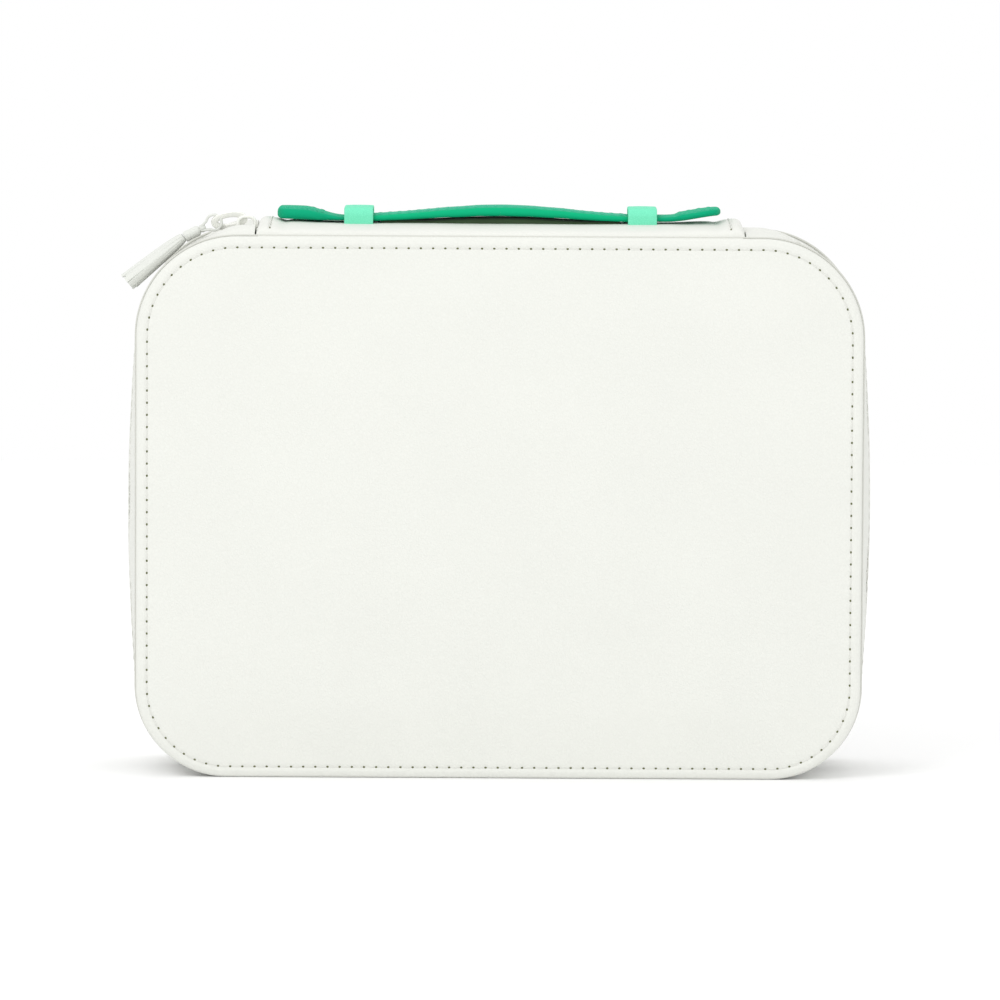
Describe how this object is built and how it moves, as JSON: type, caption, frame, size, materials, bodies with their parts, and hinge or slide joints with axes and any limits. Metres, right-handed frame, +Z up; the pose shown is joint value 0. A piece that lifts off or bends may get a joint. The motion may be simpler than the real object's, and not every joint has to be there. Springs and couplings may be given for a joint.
{
  "type": "travel jewellery case",
  "caption": "Zip-around leather travel jewellery case with a hinged spine, sliding carrying strap, tassel zip pull and a divided tray.",
  "frame": {"origin": "under the middle of the closed case, on the surface it stands on", "axes": "+Z up, the front panel faces -Y, +X to the right as seen from the front"},
  "size_m": [0.2568, 0.062, 0.1944],
  "materials": {
    "white_leather": "fine pebble grain, satin",
    "mint_leather": "smooth satin",
    "green_leather": "smooth satin",
    "board": "grey board",
    "suede": "soft suede lining",
    "tape": "woven zip tape",
    "teeth": "nylon coil",
    "enamel": "white enamel",
    "steel": "polished",
    "foam": "suede over foam"
  },
  "bodies": {
    "back": {"back_panel": "white_leather", "back_board": "board", "back_lining": "suede", "back_gusset": "white_leather", "back_zipper_tape": "tape", "back_zipper_teeth": "teeth", "tray_rim": "suede", "long_divider": "suede", "upper_divider_1": "suede", "upper_divider_2": "suede", "lower_divider": "suede", "ring_roll_1": "foam", "ring_roll_2": "foam", "ring_roll_3": "foam", "ring_roll_4": "foam", "ring_roll_5": "foam"},
    "spine": {"spine_panel": "white_leather", "spine_fold_left": "white_leather", "spine_fold_right": "white_leather", "spine_board": "board", "spine_lining": "suede", "strap_loop_left": "mint_leather", "strap_loop_right": "mint_leather", "strap_flex_left": "green_leather", "strap_flex_right": "green_leather"},
    "lid": {"front_panel": "white_leather", "front_board": "board", "front_lining": "suede", "front_gusset": "white_leather", "front_zipper_tape": "tape", "front_zipper_teeth": "teeth", "necklace_pad": "suede", "snap_stud_1": "steel", "snap_stud_2": "steel", "snap_stud_3": "steel", "lid_pocket": "suede"},
    "tab_1": {"necklace_tab_1": "suede"},
    "tab_2": {"necklace_tab_2": "suede"},
    "tab_3": {"necklace_tab_3": "suede"},
    "grip": {"strap_grip": "green_leather"},
    "strap_left": {"strap_end_left": "green_leather"},
    "strap_right": {"strap_end_right": "green_leather"},
    "slider": {"zipper_slider": "enamel", "slider_foot": "enamel"},
    "ring": {"pull_ring": "enamel"},
    "tassel": {"tassel_link": "white_leather", "tassel_collar": "white_leather", "tassel_fringe": "white_leather"}
  },
  "joints": [
    {"name": "spine_hinge", "type": "hinge", "parent": "back", "child": "spine", "pos_m": [0, 0.0295, 0.1846], "axis": [-1, 0, 0], "range_deg": [0, 90]},
    {"name": "lid_hinge", "type": "hinge", "parent": "spine", "child": "lid", "pos_m": [0, -0.0295, 0.1846], "axis": [-1, 0, 0], "range_deg": [0, 90]},
    {"name": "tab_1_hinge", "type": "hinge", "parent": "lid", "child": "tab_1", "pos_m": [-0.056, -0.0207, 0.142], "axis": [1, 0, 0], "range_deg": [0, 90]},
    {"name": "tab_2_hinge", "type": "hinge", "parent": "lid", "child": "tab_2", "pos_m": [0, -0.0207, 0.142], "axis": [1, 0, 0], "range_deg": [0, 90]},
    {"name": "tab_3_hinge", "type": "hinge", "parent": "lid", "child": "tab_3", "pos_m": [0.056, -0.0207, 0.142], "axis": [1, 0, 0], "range_deg": [0, 90]},
    {"name": "strap_lift", "type": "slide", "parent": "spine", "child": "grip", "axis": [0, 0, 1], "range_m": [0, 0.014]},
    {"name": "strap_slide_left", "type": "slide", "parent": "spine", "child": "strap_left", "axis": [1, 0, 0], "range_m": [0, 0.0044]},
    {"name": "strap_slide_right", "type": "slide", "parent": "spine", "child": "strap_right", "axis": [-1, 0, 0], "range_m": [0, 0.0044]},
    {"name": "slider_travel", "type": "hinge", "parent": "back", "child": "slider", "pos_m": [-0.0871, 0, 0.1496], "axis": [0, -1, 0], "range_deg": [0, 25]},
    {"name": "ring_hinge", "type": "hinge", "parent": "slider", "child": "ring", "pos_m": [-0.088, 0, 0.1885], "axis": [0, 1, 0], "range_deg": [0, 95]},
    {"name": "tassel_hinge", "type": "hinge", "parent": "ring", "child": "tassel", "pos_m": [-0.09836, 0, 0.18759], "axis": [0, 1, 0], "range_deg": [0, 60]}
  ],
  "couplings": [
    {"joint": "lid_hinge", "follows": "spine_hinge", "ratio": 1},
    {"joint": "strap_slide_left", "follows": "strap_lift", "ratio": 0.314},
    {"joint": "strap_slide_right", "follows": "strap_lift", "ratio": 0.314}
  ]
}
